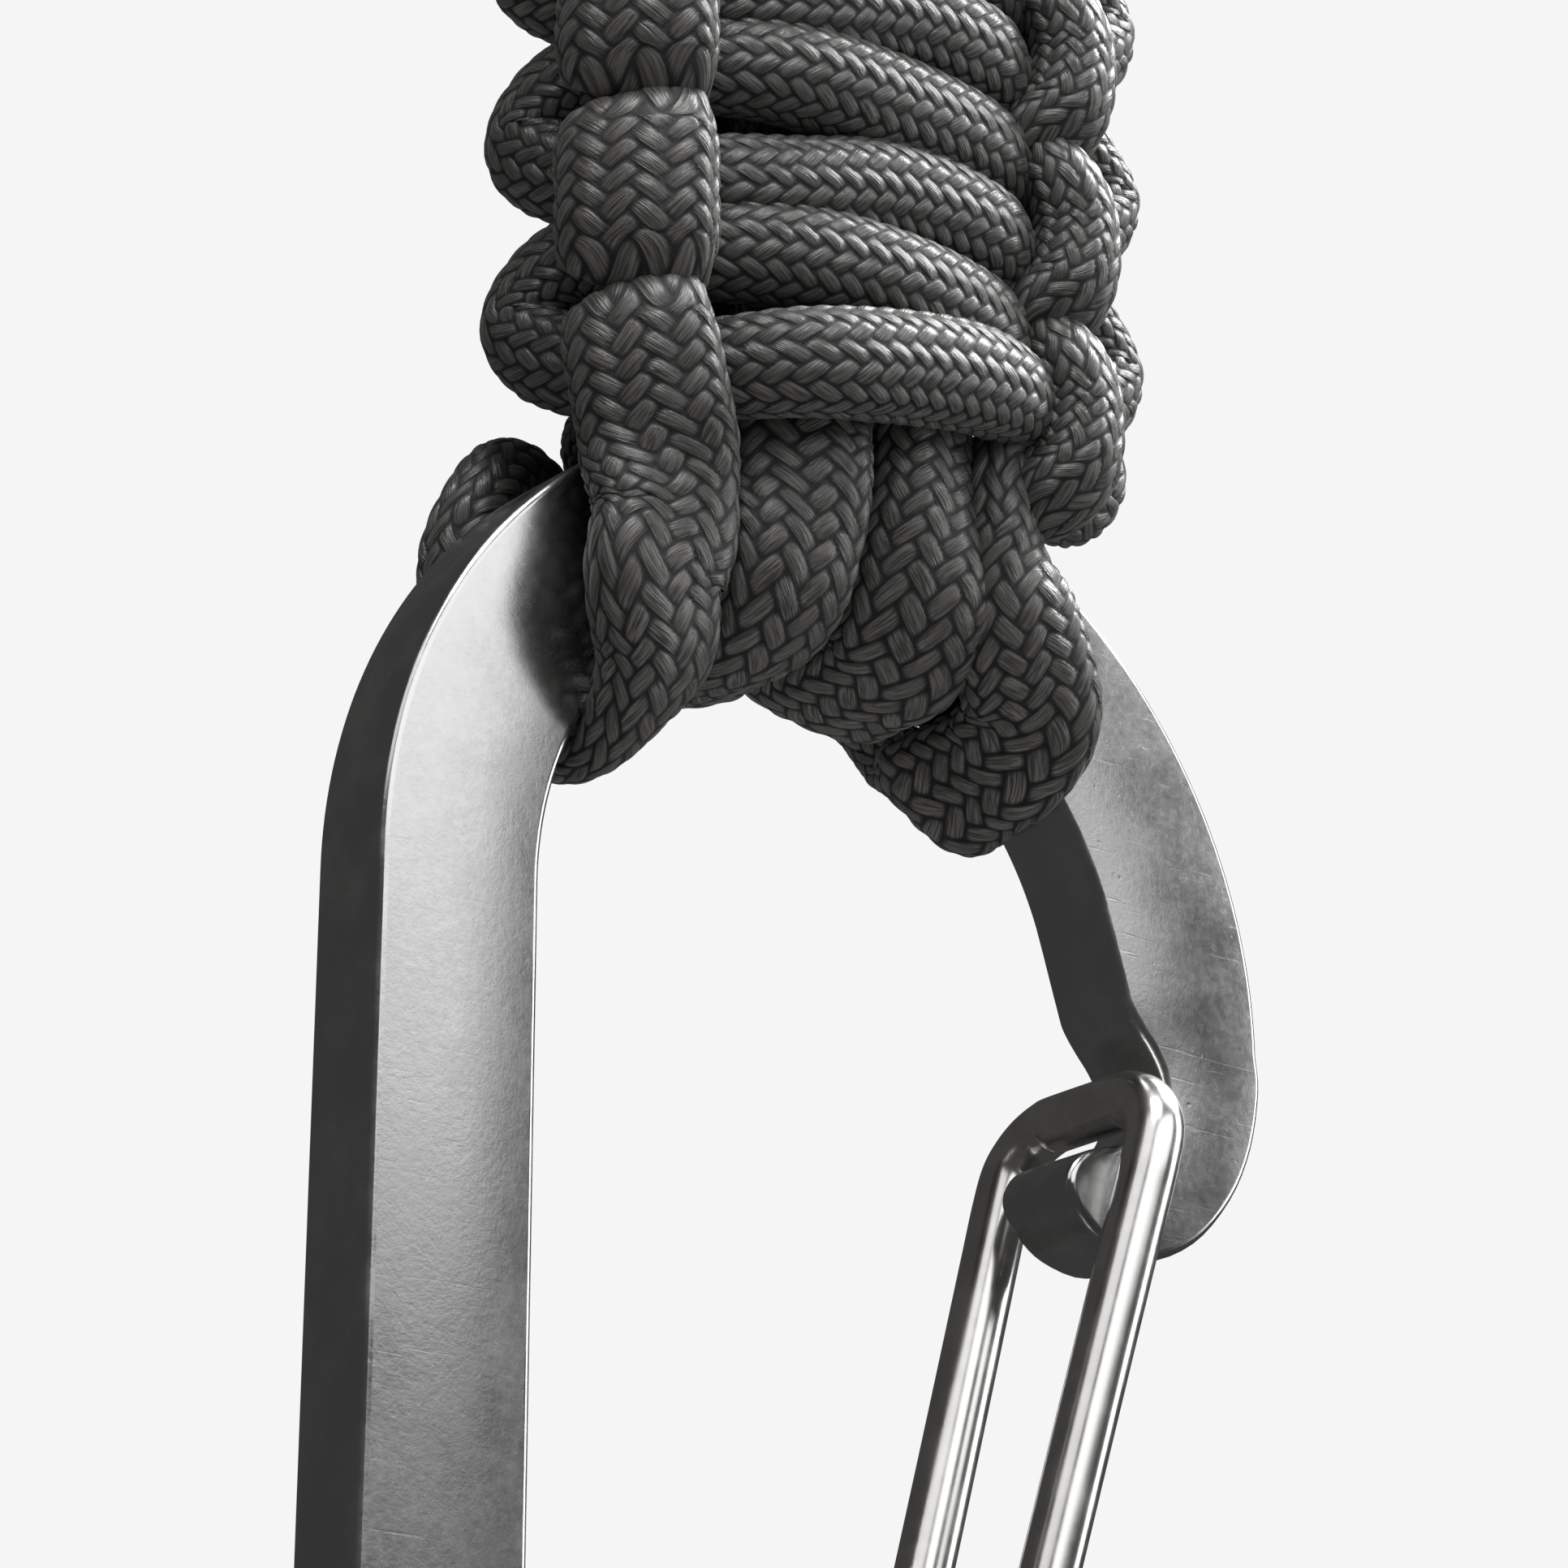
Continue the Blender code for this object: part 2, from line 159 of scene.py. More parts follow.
def tumbled_face_finish():
    material, shader, shade = new_finish("tumbled_flat_face", Metallic=1.0)
    place = shade.node("ShaderNodeTexCoord", output=3)
    across = place.node("ShaderNodeSeparateXYZ", {}, {0: place})
    worn = across.clamped(-0.010, 0.016) * 0.8 + 0.2
    clouds = speckle(shade, 300, 5.0, 0.65)
    grain = speckle(shade, 3600, 3.0, 0.7)
    pits = speckle(shade, 1500, 2.0, 0.5).clamped(0.70, 0.80)
    marks = scratches(shade, 35, 4200, 0.69) + scratches(shade, -48, 3600, 0.70)
    marks = marks + scratches(shade, 70, 3900, 0.70)
    marks, pits = marks * worn, pits * worn
    tone = (clouds * 0.6 + grain * 0.4).clamped(0.25, 0.75)
    base = (tone * worn + (1 - worn) * 0.75).mixed((0.50, 0.50, 0.505), (0.66, 0.66, 0.655))
    base = (marks * 0.45).clamped(0.0, 1.0).mixed(base, (0.80, 0.80, 0.79))
    base = (pits * 0.5).clamped(0.0, 1.0).mixed(base, (0.27, 0.27, 0.28))
    height = clouds * 0.5 + grain * 0.5 - pits * 0.8 - marks * 0.25
    bump = shade.node("ShaderNodeBump", {}, {"Strength": 0.22, "Distance": 0.00004, "Height": height})
    feed(shade, shader, Base_Color=base, Roughness=0.20 + tone * 0.10 + pits * 0.1, Normal=bump)
    return material


def polished_edge_finish():
    material, shader, shade = new_finish("polished_edge", Metallic=1.0)
    clouds = speckle(shade, 420, 4.0, 0.6)
    grain = speckle(shade, 3200, 2.0, 0.6)
    rubbed = clouds.clamped(0.35, 0.7)
    base = rubbed.mixed((0.60, 0.60, 0.605), (0.68, 0.68, 0.675))
    height = clouds * 0.6 + grain * 0.4
    bump = shade.node("ShaderNodeBump", {}, {"Strength": 0.25, "Distance": 0.00004, "Height": height})
    feed(shade, shader, Base_Color=base, Roughness=0.17 + rubbed * 0.12, Normal=bump)
    return material


def arc(centre, radius, start, end, count):
    """Points on an arc, degrees from +X, both ends included."""
    angles = np.radians(np.linspace(start, end, count))
    return [(centre[0] + radius * math.cos(a), centre[1] + radius * math.sin(a)) for a in angles]


def rounded(points, steps):
    """Points on a smooth curve through these, the first and last of them left out."""
    found = []
    for i in range(1, len(points) - 2):
        p0, p1, p2, p3 = (np.array(points[i + k]) for k in (-1, 0, 1, 2))
        for t in np.arange(steps) / steps:
            found.append(tuple(0.5 * (2 * p1 + (p2 - p0) * t + (2 * p0 - 5 * p1 + 4 * p2 - p3) * t**2
                                      + (3 * p1 - p0 - 3 * p2 + p3) * t**3)))
    return found


def finished(name, mesh_in_work, materials, body, node):
    """Turns a bmesh into the named piece, which rides a body and stands for a CAD node."""
    mesh = bpy.data.meshes.new(name)
    mesh_in_work.to_mesh(mesh)
    mesh_in_work.free()
    for material in materials:
        mesh.materials.append(material)
    piece = bpy.data.objects.new(name, mesh)
    bpy.context.scene.collection.objects.link(piece)
    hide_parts(node)
    if body:
        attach(piece, body)
    return piece


outer_arch = arc((outer_arch_offset, 0), arch_radii[0], 180, 0, 121)
inner_arch = arc((0, 0), arch_radii[1], 14, 180, 111)
nose = outer_arch[-3::2] + list(nose_outside + nose_lip + nose_notch + nose_inside) + inner_arch[3:5]
outline = outer_arch[:-1] + rounded(nose, 4) + inner_arch[4:]
outline += arc(end_centre, end_radii[1], 180, 360, 61)
outline += arc(hinge, hinge_end_radius, 172, 0, 31)
outline += arc(end_centre, end_radii[0], 0, -180, 91)
bar = bmesh.new()
rim = [bar.verts.new(((arch_x + x) * MM, 0, (arch_z + z) * MM)) for x, z in outline]
for first, second in zip(rim, rim[1:] + rim[:1]):
    if (first.co - second.co).length > 1e-7:
        bar.edges.new((first, second))
bmesh.ops.remove_doubles(bar, verts=bar.verts, dist=2e-6)
hole = bmesh.ops.create_circle(bar, segments=48, radius=hinge_hole_radius * MM)["verts"]
bmesh.ops.rotate(bar, verts=hole, matrix=Matrix.Rotation(math.pi / 2, 3, "X"))
bmesh.ops.translate(bar, verts=hole, vec=((arch_x + hinge[0]) * MM, 0, (arch_z + hinge[1]) * MM))
bmesh.ops.triangle_fill(bar, edges=bar.edges, use_beauty=True)
bmesh.ops.translate(bar, verts=bar.verts, vec=(0, -bar_thickness / 2 * MM, 0))
pushed = bmesh.ops.extrude_face_region(bar, geom=bar.faces[:], use_keep_orig=True)["geom"]
moved = [g for g in pushed if isinstance(g, bmesh.types.BMVert)]
bmesh.ops.translate(bar, verts=moved, vec=(0, bar_thickness * MM, 0))
bmesh.ops.recalc_face_normals(bar, faces=bar.faces)
corners = [e for e in bar.edges if e.is_manifold and e.calc_face_angle(0) > 1.0]
bmesh.ops.bevel(bar, geom=corners, offset=bar_edge_round * MM, segments=5, profile=0.5,
                affect="EDGES", material=-1, clamp_overlap=False)
for face in bar.faces:
    face.smooth = True
    face.material_index = 0 if abs(face.normal.y) > 0.995 else 1
finished("carabiner_bar", bar, [tumbled_face_finish(), polished_edge_finish()],
         "carabiner", "carabiner_body")

# Wire gate.
# One length of polished stainless wire, bent into a narrow loop. Its two ends are
# sprung into the hinge hole and its crossbar closes inside the hook of the nose.
gate_wire_radius = 1.15
gate_top = (14.2, -3.2)
gate_half_width_top, gate_half_width_low, gate_narrow_at = 4.45, 3.8, 0.5
gate_corner_radius, gate_end_y = 2.6, 0.35


def smooth_route(controls, step, cyclic=False):
    """Rows of a smooth curve through rows of numbers, x y z first, about step apart."""
    rows = np.array(controls, float)
    count = len(rows)
    found = []
    for i in range(count if cyclic else count - 1):
        if cyclic:
            p0, p1, p2, p3 = (rows[(i + k) % count] for k in (-1, 0, 1, 2))
        else:
            p0, p1, p2, p3 = rows[max(i - 1, 0)], rows[i], rows[i + 1], rows[min(i + 2, count - 1)]
        parts = max(3, int(np.linalg.norm((p2 - p1)[:3]) / step * 4))
        t = (np.arange(parts) / parts)[:, None]
        found.append(0.5 * (2 * p1 + (p2 - p0) * t + (2 * p0 - 5 * p1 + 4 * p2 - p3) * t**2
                            + (3 * p1 - p0 - 3 * p2 + p3) * t**3))
    found.append(rows[:1] if cyclic else rows[-1:])
    dense = np.concatenate(found)
    run = np.concatenate([[0], np.cumsum(np.linalg.norm(np.diff(dense[:, :3], axis=0), axis=1))])
    even = np.linspace(0, run[-1], max(4, int(run[-1] / step)) + 1)
    return np.stack([np.interp(even, run, column) for column in dense.T], axis=1), even


def unit(vectors):
    return vectors / np.maximum(np.linalg.norm(vectors, axis=1), 1e-9)[:, None]


def sleeve(rows, facing, sides, surface, tube_uv=None):
    """A skin round a route. surface gives each point's place across the width and the
    thickness from its angle and its row; the thickness lies along facing."""
    along = unit(np.gradient(rows[:, :3], axis=0))
    up = unit(facing - (facing * along).sum(1)[:, None] * along)
    across = np.cross(along, up)
    skin = bmesh.new()
    skin.loops.layers.uv.new("weave")
    bmesh.ops.create_grid(skin, x_segments=sides, y_segments=len(rows) - 1, size=1.0, calc_uvs=True)
    draft = bpy.data.meshes.new("skin_in_work")
    skin.to_mesh(draft)
    flat = np.empty(len(draft.vertices) * 3, np.float32)
    draft.vertices.foreach_get("co", flat)
    flat = flat.reshape(-1, 3)
    column = np.rint((flat[:, 0] + 1) / 2 * sides).astype(int)
    row = np.rint((flat[:, 1] + 1) / 2 * (len(rows) - 1)).astype(int)
    angle = 2 * np.pi * (column % sides) / sides
    wide, thick = surface(angle, row)
    place = rows[row, :3] + across[row] * wide[:, None] + up[row] * thick[:, None]
    draft.vertices.foreach_set("co", (place * MM).astype(np.float32).ravel())
    if tube_uv:
        uv = np.empty(len(draft.loops) * 2, np.float32)
        draft.uv_layers["weave"].data.foreach_get("uv", uv)
        uv = uv.reshape(-1, 2) * np.array(tube_uv[:2]) + np.array((0.0, tube_uv[2]))
        draft.uv_layers["weave"].data.foreach_set("uv", uv.astype(np.float32).ravel())
    skin.clear()
    skin.from_mesh(draft)
    bpy.data.meshes.remove(draft)
    bmesh.ops.remove_doubles(skin, verts=skin.verts, dist=1e-7)
    bmesh.ops.holes_fill(skin, edges=[e for e in skin.edges if e.is_boundary], sides=0)
    bmesh.ops.recalc_face_normals(skin, faces=skin.faces)
    for face in skin.faces:
        face.smooth = len(face.verts) == 4
    return skin


def round_skin(radius):
    return lambda angle, row: (radius * np.sin(angle), radius * np.cos(angle))


def polished_wire_finish():
    material, shader, shade = new_finish("polished_wire", Metallic=1.0)
    haze = speckle(shade, 500, 3.0, 0.6).clamped(0.35, 0.7)
    drawn = speckle(shade, 2600, 3.0, 0.6, (1.0, 1.0, 0.06))
    base = haze.mixed((0.74, 0.73, 0.72), (0.86, 0.85, 0.83))
    bump = shade.node("ShaderNodeBump", {}, {"Strength": 0.03, "Distance": 0.00002, "Height": drawn})
    feed(shade, shader, Base_Color=base, Roughness=0.19 + haze * 0.06, Normal=bump)
    return material


low = np.array((arch_x + hinge[0], arch_z + hinge[1]))
top = np.array((arch_x + gate_top[0], arch_z + gate_top[1]))
leg = np.linalg.norm(top - low)
side = []
for share, y in (
    (0, -gate_end_y), (0, -1.2), (0, -2.3), (0.2 / leg, -gate_half_width_low + 0.75),
    (0.75 / leg, -gate_half_width_low + 0.2), (1.5 / leg, -gate_half_width_low),
    (0.1, -gate_half_width_low), (0.3, -gate_half_width_low), (gate_narrow_at, -gate_half_width_low),
    (0.62, -gate_half_width_low - 0.14), (0.75, -gate_half_width_low - 0.33),
    (0.88, -gate_half_width_top + 0.1),
    (1 - 1.3 * gate_corner_radius / leg, -gate_half_width_top + 0.02),
):
    spot = low + (top - low) * share
    side.append((spot[0], y, spot[1]))
for degrees in (15, 35, 55, 75, 90):
    turn = math.radians(degrees)
    spot = low + (top - low) * (1 - gate_corner_radius * (1 - math.sin(turn)) / leg)
    side.append((spot[0], -gate_half_width_top + gate_corner_radius * (1 - math.cos(turn)), spot[1]))
gate_rows, _ = smooth_route(side + [(x, -y, z) for x, y, z in reversed(side)], 0.15)
out_of_gate = math.atan2(top[1] - low[1], top[0] - low[0]) - math.pi / 2
gate_facing = np.tile((math.cos(out_of_gate), 0.0, math.sin(out_of_gate)), (len(gate_rows), 1))
finished("gate_wire_loop", sleeve(gate_rows, gate_facing, 56, round_skin(gate_wire_radius)),
         [polished_wire_finish()], "gate", "gate_wire")

# Split ring.
# Two turns of hardened steel wire, nickel plated, lapped at the top. The strap's
# core loops are threaded over both turns, and the ring hangs the whole thing up.
ring_radius, ring_wire_radius, ring_turns, ring_turn_step = 12.0, 0.8, 1.94, 1.8
ring_centre_z = ring_wire_radius - ring_radius
ring_low_z = ring_centre_z - ring_radius


def nickel_finish():
    material, shader, shade = new_finish("nickel_plate", Metallic=1.0)
    haze = speckle(shade, 380, 4.0, 0.6).clamped(0.35, 0.7)
    grain = speckle(shade, 3000, 2.0, 0.6)
    base = haze.mixed((0.60, 0.585, 0.56), (0.74, 0.72, 0.69))
    bump = shade.node("ShaderNodeBump", {}, {"Strength": 0.2, "Distance": 0.00003, "Height": grain})
    feed(shade, shader, Base_Color=base, Roughness=0.13 + haze * 0.12, Normal=bump)
    return material


def flattened_wire(angle, row):
    """Round wire with its sides pressed a little flat, as where the turns lie together."""
    squeeze = 1 / (np.abs(np.cos(angle)) ** 3 + np.abs(np.sin(angle)) ** 3) ** (1 / 3)
    reach = ring_wire_radius * squeeze * 0.94
    return reach * np.sin(angle), reach * np.cos(angle)


share = np.linspace(0, 1, 401)
ring_angle = math.pi / 2 + 2 * math.pi * ring_turns * share
ring_rows = np.stack([ring_radius * np.cos(ring_angle), ring_turn_step * (share - 0.5) * ring_turns,
                      ring_centre_z + ring_radius * np.sin(ring_angle)], axis=1)
ring_facing = np.tile((0.0, 1.0, 0.0), (len(ring_rows), 1))
ring = sleeve(ring_rows, ring_facing, 28, flattened_wire)
ring_ends = [e for e in ring.edges if e.calc_face_angle(0) > 1.2]
bmesh.ops.bevel(ring, geom=ring_ends, offset=0.18 * MM, segments=3, profile=0.5, affect="EDGES", material=-1)
for face in ring.faces:
    face.smooth = True
finished("split_ring", ring, [nickel_finish()], "ring", "key_ring")

# Braided cord.
# Round cord of 32 plaited bundles of filament, two over and two under, about 4 mm
# across. It is soft, so it flattens where it is pulled over the bar or another strand.
half_pitch, half_knots = 3.95, 12
junction_over_arch = 19.3
columns_round = 16
braid_pitch = 0.95
braid_relief = 0.15
close_mesh, near_mesh, far_mesh = (0.13, 96), (0.15, 88), (0.2, 64)
wrap_sinks_in = 1.6
neck_top, neck_low = -70.0, -80.0
neck_reach = 1.0


def junction_z(n):
    return arch_z + junction_over_arch + n * half_pitch


def side_of(n):
    return 1 if n % 2 == 0 else -1


def under_bar(angle, radius):
    """A point inside the arch at an angle in degrees from straight up."""
    return arch_x + radius * math.sin(math.radians(angle)), arch_z + radius * math.cos(math.radians(angle))


def outward(rows):
    """Away from the strap's middle, and below the weave away from the carabiner's bar."""
    weave = np.stack([rows[:, 0] / 13.0**2, rows[:, 1] / 9.2**2, np.zeros(len(rows))], axis=1)
    out_x, out_z = rows[:, 0] - arch_x, rows[:, 2] - arch_z
    reach = np.maximum(np.hypot(out_x, out_z), 1e-6)
    middle = (arch_radii[0] + arch_radii[1]) / 2
    past_middle = 1 - middle / reach
    bar_way = np.stack([out_x * past_middle, rows[:, 1] * 1.7, out_z * past_middle], axis=1)
    share = np.clip((junction_z(0) - 1.0 - rows[:, 2]) / 3.5, 0, 1)[:, None]
    share = share * share * (3 - 2 * share)
    return unit(unit(weave) * (1 - share) + unit(bar_way) * share)


def yarn_height(u, v):
    """How far the filament bundle stands up at a place on the unrolled braid, 0 to 1."""
    a, b = u + v, u - v
    i, j = np.floor(a), np.floor(b)
    right_phase = np.mod(i + b, 4)
    left_phase = np.mod(a + j, 4) - 2
    right_on_top = right_phase < 2
    phase = np.where(right_on_top, right_phase, left_phase) / 2
    middle = np.where(right_on_top, a - i, b - j) - 0.5
    crown = np.sqrt(np.clip(1 - (2 * middle) ** 2, 0, 1))
    return (0.35 + 0.65 * crown) * np.sin(np.pi * np.clip(phase, 0, 1)) ** 0.6


def cord_skin(rows, starts_at, step):
    """The braided surface of a cord whose rows hold x, y, z, half width, half thickness."""
    half_wide, half_thick = rows[:, 3], rows[:, 4]

    def surface(angle, row):
        u = columns_round * angle / (2 * np.pi)
        v = (starts_at + row * step) / braid_pitch
        rise = braid_relief * (yarn_height(u, v) - 0.72)
        squareness = np.clip((half_wide[row] / half_thick[row] - 1) * 0.5, 0, 0.5)
        power = 2 + squareness
        full = 1 / (np.abs(np.cos(angle)) ** power + np.abs(np.sin(angle)) ** power) ** (1 / power)
        lump = full * (1 + 0.012 * np.sin(3 * angle + v * 0.7))
        wide = (half_wide[row] * lump + rise) * np.sin(angle)
        return wide, (half_thick[row] * lump + rise) * np.cos(angle)

    return surface


def braided_cord_finish():
    material, shader, shade = new_finish("charcoal_braid", Metallic=0.0, Specular_IOR_Level=0.75,
                                         Sheen_Weight=0.12, Sheen_Roughness=0.4)
    place = shade.node("ShaderNodeUVMap", {"uv_map": "weave"})
    split = place.node("ShaderNodeSeparateXYZ", {}, {0: place})
    u, v = split, Shade(shade.tree, split.socket.node.outputs[1])
    a, b = u + v, u - v
    i, j = a.maths("FLOOR", a), b.maths("FLOOR", b)
    right_phase = (i + b) % 4.0
    left_phase = (a + j) % 4.0 - 2.0
    right_on_top = right_phase < 2.0
    phase = (right_on_top * right_phase + (1.0 - right_on_top) * left_phase) * 0.5
    middle = right_on_top * (a - i) + (1.0 - right_on_top) * (b - j) - 0.5
    crown = 1.0 - middle * middle * 4.0
    rise = crown.maths("SINE", phase * math.pi)
    yarn = right_on_top * (i * 7.31) + (1.0 - right_on_top) * (j * 5.17 + 300.0)
    filament_place = shade.node("ShaderNodeCombineXYZ", {}, {0: middle * 13.0, 1: phase * 1.3, 2: yarn})
    filaments = shade.node("ShaderNodeTexNoise", {"noise_dimensions": "3D"},
                           {"Vector": filament_place, "Scale": 1.0, "Detail": 2.0, "Roughness": 0.6})
    tint_place = shade.node("ShaderNodeCombineXYZ", {}, {0: yarn * 0.37, 1: phase * 0.5, 2: v * 0.2})
    tint = shade.node("ShaderNodeTexNoise", {"noise_dimensions": "3D"},
                      {"Vector": tint_place, "Scale": 1.0, "Detail": 1.0, "Roughness": 0.5})
    fuzz = speckle(shade, 1500, 3.0, 0.6)
    depth = (crown * rise).clamped(0.03, 0.42)
    light = filaments.clamped(0.38, 0.62).mixed((0.042, 0.0402, 0.0382), (0.160, 0.1535, 0.1455))
    light = (tint.clamped(0.35, 0.65) * 0.4).mixed(light, (0.074, 0.071, 0.0675))
    # Painted shade: the base colour falls to near black where depth is low, in the grooves between the yarns
    # and where each yarn dives under the next.
    base = depth.mixed((0.010, 0.0095, 0.009), light)
    height = crown * 0.15 + depth * 0.4 + filaments * 0.5 + fuzz * 0.05
    bump = shade.node("ShaderNodeBump", {}, {"Strength": 0.9, "Distance": 0.00010, "Height": height})
    roughness = 0.24 + filaments * 0.16 + (1.0 - depth) * 0.35
    feed(shade, shader, Base_Color=base, Roughness=roughness, Normal=bump)
    return material


braid_finish = braided_cord_finish()


def cord_piece(name, controls, node, mesh_size, keep, cyclic=False):
    """One braided piece of a route: keep picks its first and last row from the rows."""
    step, sides = mesh_size
    rows, run = smooth_route(controls, step, cyclic)
    first, last = keep(rows)
    part, facing = rows[first:last + 1], outward(rows)[first:last + 1]
    spacing = run[1] - run[0]
    weave = (columns_round, spacing * (last - first) / braid_pitch, run[first] / braid_pitch)
    skin = sleeve(part, facing, sides, cord_skin(part, run[first], spacing), weave)
    piece = finished(name, skin, [braid_finish], None, node)
    if part[:, 2].min() < neck_top + neck_reach:
        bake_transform(piece)
    else:
        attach(piece, "strap")

# Core cords.
# Two closed loops of the cord: each runs from the split ring down inside the weave,
# shows as a wrap on the front of the bar, passes under it and runs back up behind.
core_x, core_y = 2.3, 2.1
wrap_top_z = junction_z(0) + 9.0


def core_controls(side, front_x, angle):
    x, low_z, top_z = side * core_x, junction_z(0), ring_low_z
    under_x, under_z = under_bar(angle, arch_radii[1] - wrap_sinks_in)
    down = [
        (x, -2.9, top_z - 3.6, 1.75, 1.55),
        (x, -core_y, top_z - 6.4, 1.8, 1.6),
        (x, -core_y, (top_z + low_z) / 2, 1.8, 1.6),
        (x, -core_y - 0.1, low_z + 7.5, 1.8, 1.6),
        ((x + front_x) / 2 + 0.8, -3.9, low_z + 3.4, 2.6, 1.6),
        (front_x + 0.5, -4.4, low_z + 0.2, 3.1, 1.75),
        (front_x + 0.4, -4.5, (low_z + under_z) / 2 + 0.8, 3.15, 1.8),
        (front_x * 0.6 + under_x * 0.4 + 0.2, -3.9, under_z + 1.9, 3.1, 1.65),
        (under_x + 0.1, -2.2, under_z + 0.3, 3.1, 1.5),
    ]
    up = [(px, -py, pz, wide, thick) for px, py, pz, wide, thick in reversed(down)]
    over = ring_wire_radius + ring_turn_step / 2 + 0.9 + 1.7
    hairpin = [(x, over, top_z - 0.4, 1.8, 1.55), (x, over * 0.72, top_z + over * 0.7, 1.9, 1.5)]
    hairpin += [(x, 0.0, top_z + over, 2.0, 1.45)]
    hairpin += [(x, -py, pz, wide, thick) for _, py, pz, wide, thick in reversed(hairpin[:2])]
    return down + [(under_x, 0.0, under_z, 3.0, 1.45)] + up + hairpin


def wrap_rows(rows):
    """The stretch under and round the bar, up to inside the weave at both sides."""
    below = np.flatnonzero(rows[:, 2] < wrap_top_z)
    return below[0], below[-1]


def upper_rows(rows):
    """The stretch above the wrap, through the weave and over the ring."""
    above = np.flatnonzero(rows[:, 2] > wrap_top_z)
    return above[0], above[-1]


for name, side, front_x, angle in (("core_cord_left", -1, -3.9, -21), ("core_cord_right", 1, 2.4, 11)):
    loop = core_controls(side, front_x, angle)
    half = len(loop) // 2
    cord_piece(name + "_wrap", loop, name, close_mesh, wrap_rows, True)
    cord_piece(name + "_upper", loop[half:] + loop[:half], name, far_mesh, upper_rows, True)

# Working cord, crossing half.
# It comes up round the bar on the right, is drawn round the first junction, and then
# lies across the front of the core after every junction, all the way up the strap.


def edge_loop(n):
    s, z = side_of(n), junction_z(n)
    lower_y = -7.0 if n == 1 else -5.5
    gap = 2.05 if s > 0 else 2.5
    lift = 0.0 if s > 0 else 0.7
    arm = 1.0 if s > 0 else 0.4
    turn = 1.0 if s > 0 else 0.0
    return [
        (s * 5.0, lower_y, z - gap + arm, 2.15, 1.7),
        (s * 8.3, -3.9, z - gap + arm * 0.7, 1.95, 1.45),
        (s * 10.7 + turn * 1.2, -0.2 - turn * 3.4, z - 2.1 + lift, 1.9, 1.6),
        (s * 11.5 + turn * 2.4, 1.9 - turn * 4.6, z + 0.1 + lift, 2.05, 1.8),
        (s * 10.7 + turn * 1.2, -0.2 - turn * 3.0, z + 2.3 + lift, 1.9, 1.6),
        (s * 8.3, -3.9, z + gap + arm * 0.7, 1.95, 1.45),
        (s * 5.0, -5.7, z + gap + arm, 2.15, 1.7),
    ]


def crossing_controls():
    z = junction_z(0)
    under_x, under_z = under_bar(42, arch_radii[1] - wrap_sinks_in)
    route = [
        (0.35, 8.0, z - 2.2, 1.9, 1.6), (3.2, 7.8, z - 2.3, 2.0, 1.6), (6.0, 6.2, z - 3.9, 2.2, 1.6),
        (7.6, 4.5, z - 5.6, 2.6, 1.65), (under_x + 0.3, 3.8, under_z + 1.9, 2.9, 1.6),
        (under_x + 0.2, 2.1, under_z + 0.4, 3.0, 1.5), (under_x + 0.3, 0.0, under_z + 0.5, 2.8, 1.3),
        (under_x + 0.4, -1.8, under_z + 0.9, 2.8, 1.4), (under_x + 0.2, -3.4, under_z + 2.4, 2.9, 1.6),
        (7.5, -4.4, z - 4.6, 2.85, 1.75), (6.9, -4.4, z - 1.9, 2.8, 1.7), (7.0, -4.2, z + 0.6, 2.6, 1.6),
        (9.0, -3.7, z + 1.7, 2.1, 1.5), (11.8, -3.0, z + 2.0, 1.95, 1.6), (13.0, -2.6, z + 3.1, 2.0, 1.7),
        (12.4, -2.6, z + 4.3, 1.95, 1.6), (10.6, -3.4, z + 4.5, 1.85, 1.5), (8.3, -4.6, z + 4.2, 1.95, 1.5),
        (5.0, -6.6, z + 3.8, 2.15, 1.7), (0.0, -7.5, z + 2.9, 2.25, 1.75),
    ]
    for n in range(1, half_knots):
        route += edge_loop(n)
        route.append((0.0, -(6.4 if n == 1 else 6.0), junction_z(n) + half_pitch / 2 + 0.9, 2.25, 1.8))
    last, s = junction_z(half_knots), side_of(half_knots)
    return route + [(s * 5.0, -5.3, last - 2.05, 2.0, 1.5), (s * 8.5, -3.1, last - 2.4, 1.35, 1.0),
                    (s * 10.6, -0.2, last - 2.2, 1.3, 1.0), (s * 11.4, 1.3, last - 2.0, 1.5, 1.3)]


def nearest_row(rows, point):
    return int(np.argmin(np.linalg.norm(rows[:, :3] - np.array(point[:3]), axis=1)))


def cut_at(start, end):
    """Picks the rows between those nearest to two points; None stands for an end of the cord."""
    return lambda rows: (0 if start is None else nearest_row(rows, start),
                         len(rows) - 1 if end is None else nearest_row(rows, end))


loop_cuts = [None] + [edge_loop(n)[1] for n in (3, 5, 7, 9)] + [None]
for k, mesh_size in enumerate((close_mesh, near_mesh, far_mesh, far_mesh, far_mesh)):
    cord_piece(f"crossing_cord_{k + 1}", crossing_controls(), "crossing_cord", mesh_size,
               cut_at(loop_cuts[k], loop_cuts[k + 1]))

# Working cord, edge half.
# It comes up round the bar on the left and stands as an upright bump at each edge,
# passing through the other half's loops and always crossing behind the core.


def rear_crossing(n):
    s, z, low_z = side_of(n + 1), junction_z(n + 1), junction_z(n)
    over_wraps, over_bar = (1.9, 1.0) if n == 0 else (0.0, 0.0)
    low_end_y = 5.8 if n < 2 else 4.9
    return [
        (s * 7.6, 1.2, z - 0.9, 1.0, 0.9), (s * 5.0, 4.9 + over_wraps * 0.8, z - 1.2, 1.5, 1.3),
        (0.0, 5.9 + over_wraps, (z + low_z) / 2 + over_bar / 2, 2.0, 1.65),
        (-s * 5.0, low_end_y, low_z + 1.2 + over_bar, 1.5, 1.3),
        (-s * 7.6, 1.2, low_z + 0.9 + over_bar, 1.0, 0.9),
    ]


